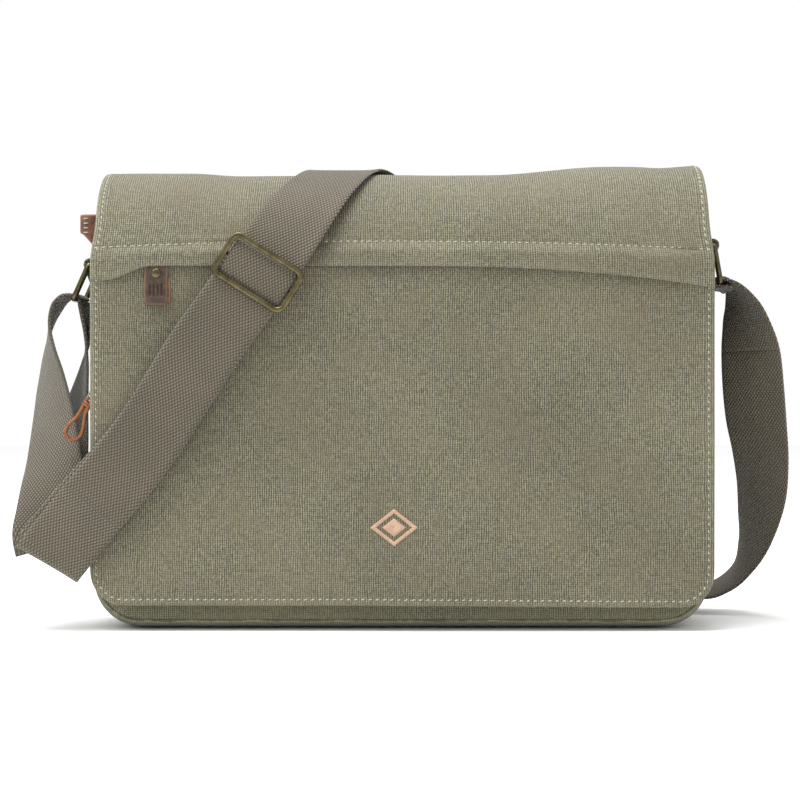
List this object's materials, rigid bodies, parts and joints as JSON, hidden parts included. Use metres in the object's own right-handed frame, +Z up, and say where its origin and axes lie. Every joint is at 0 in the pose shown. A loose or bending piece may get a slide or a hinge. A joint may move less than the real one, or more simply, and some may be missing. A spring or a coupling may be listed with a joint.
{
  "type": "messenger bag",
  "caption": "Canvas messenger bag with a full front flap, zipped pockets, leather zip pulls and a webbing shoulder strap on brass rings.",
  "frame": {"origin": "centre of the flat base, on the surface that the bag stands on", "axes": "+Z up, +X along the bag's width to the right as seen from the front, the flap's front face looks along -Y"},
  "size_m": [0.534, 0.1899, 0.3194],
  "materials": {
    "canvas": "washed plain-weave cotton canvas, matt",
    "lining_cloth": "plain cotton twill, matt",
    "webbing": "ribbed cotton webbing, matt",
    "brass": "antique brass, brushed",
    "steel": "nickelled, satin",
    "zip_tape": "woven tape, matt",
    "dark_leather": "waxed, worn pale at the edges",
    "tan_leather": "vegetable tanned, satin",
    "embroidery": "satin-stitched thread"
  },
  "bodies": {
    "bag": {"front_panel": "canvas", "back_panel": "canvas", "side_gusset_left": "canvas", "side_gusset_right": "canvas", "base_panel": "canvas", "top_panel_front": "canvas", "top_panel_back": "canvas", "main_zip_tape_front": "zip_tape", "main_zip_tape_back": "zip_tape", "main_zip_teeth": "brass", "main_zip_end_tab": "dark_leather", "lining": "lining_cloth", "laptop_divider": "lining_cloth", "inner_slip_pocket": "lining_cloth", "front_pocket": "canvas", "front_pocket_zip_tape": "zip_tape", "front_pocket_zip_teeth": "brass", "back_pocket": "canvas", "back_pocket_zip_tape": "zip_tape", "back_pocket_zip_teeth": "brass", "flap_back_hem": "canvas", "magnet_sockets": "steel", "left_ring_tab": "webbing", "right_ring_tab": "webbing", "strap_back_run": "webbing", "strap_right_neck": "webbing", "strap_hinge_bend": "webbing", "strap_left_outer": "webbing", "strap_left_inner": "webbing"},
    "flap": {"flap_lining": "lining_cloth", "flap_edge_facing": "canvas", "flap_upper_canvas": "canvas", "flap_lower_canvas": "canvas", "flap_pocket_bag": "lining_cloth", "flap_zip_tape": "zip_tape", "flap_zip_teeth": "brass", "flap_emblem": "embroidery", "magnet_discs": "steel", "strap_top_run": "webbing", "strap_front_run": "webbing", "strap_under_run": "webbing"},
    "flap_zip_slider": {"flap_zip_slider": "steel"},
    "flap_zip_pull": {"flap_pull_link": "steel", "flap_pull_leather": "dark_leather", "flap_pull_rivet": "brass"},
    "main_zip_slider": {"main_zip_slider": "steel"},
    "main_zip_pull": {"main_pull_link": "steel", "main_pull_leather": "dark_leather"},
    "front_zip_slider": {"front_zip_slider": "steel"},
    "front_zip_pull": {"front_pull_link": "steel", "front_pull_lace": "tan_leather"},
    "back_zip_slider": {"back_zip_slider": "steel"},
    "back_zip_pull": {"back_pull_leather": "dark_leather"},
    "left_ring": {"left_ring": "brass", "strap_left_turn": "webbing"},
    "right_ring": {"right_ring": "brass", "strap_right_turn": "webbing"},
    "strap_adjuster": {"strap_slider": "brass", "strap_end_loop": "webbing"}
  },
  "joints": [
    {"name": "flap_hinge", "type": "hinge", "parent": "bag", "child": "flap", "pos_m": [0, 0.0557, 0.2672], "axis": [-1, 0, 0], "range_deg": [0, 105], "deforming": ["strap_hinge_bend", "strap_left_outer", "strap_left_inner"]},
    {"name": "left_ring_swing", "type": "hinge", "parent": "bag", "child": "left_ring", "pos_m": [-0.2139, -0.005, 0.2485], "axis": [0, 1, 0], "range_deg": [-15, 90]},
    {"name": "right_ring_swing", "type": "hinge", "parent": "bag", "child": "right_ring", "pos_m": [0.2139, -0.005, 0.262], "axis": [0, -1, 0], "range_deg": [0, 90], "deforming": ["strap_right_neck"]},
    {"name": "main_zip_slide", "type": "slide", "parent": "bag", "child": "main_zip_slider", "axis": [1, 0, 0], "range_m": [0, 0.32], "deforming": ["main_zip_teeth", "main_zip_tape_front", "main_zip_tape_back"]},
    {"name": "main_pull_swing", "type": "hinge", "parent": "main_zip_slider", "child": "main_zip_pull", "pos_m": [-0.1664, 0.008, 0.3058], "axis": [0, 1, 0], "range_deg": [0, 5]},
    {"name": "flap_zip_slide", "type": "slide", "parent": "flap", "child": "flap_zip_slider", "axis": [1, 0, 0], "range_m": [0, 0.34]},
    {"name": "flap_pull_swing", "type": "hinge", "parent": "flap_zip_slider", "child": "flap_zip_pull", "pos_m": [-0.164, -0.0651, 0.2484], "axis": [-1, 0, 0], "range_deg": [0, 25]},
    {"name": "front_zip_slide", "type": "slide", "parent": "bag", "child": "front_zip_slider", "axis": [1, 0, 0], "range_m": [0, 0.39]},
    {"name": "front_pull_swing", "type": "hinge", "parent": "front_zip_slider", "child": "front_zip_pull", "pos_m": [-0.206, -0.0564, 0.164], "axis": [0, 1, 0], "range_deg": [-26, 30]},
    {"name": "back_zip_slide", "type": "slide", "parent": "bag", "child": "back_zip_slider", "axis": [1, 0, 0], "range_m": [0, 0.28]},
    {"name": "back_pull_swing", "type": "hinge", "parent": "back_zip_slider", "child": "back_zip_pull", "pos_m": [-0.14, 0.0545, 0.1908], "axis": [1, 0, 0], "range_deg": [0, 60]},
    {"name": "adjuster_slide", "type": "slide", "parent": "flap", "child": "strap_adjuster", "axis": [0.5898, -0.036, 0.8068], "range_m": [-0.045, 0]}
  ]
}
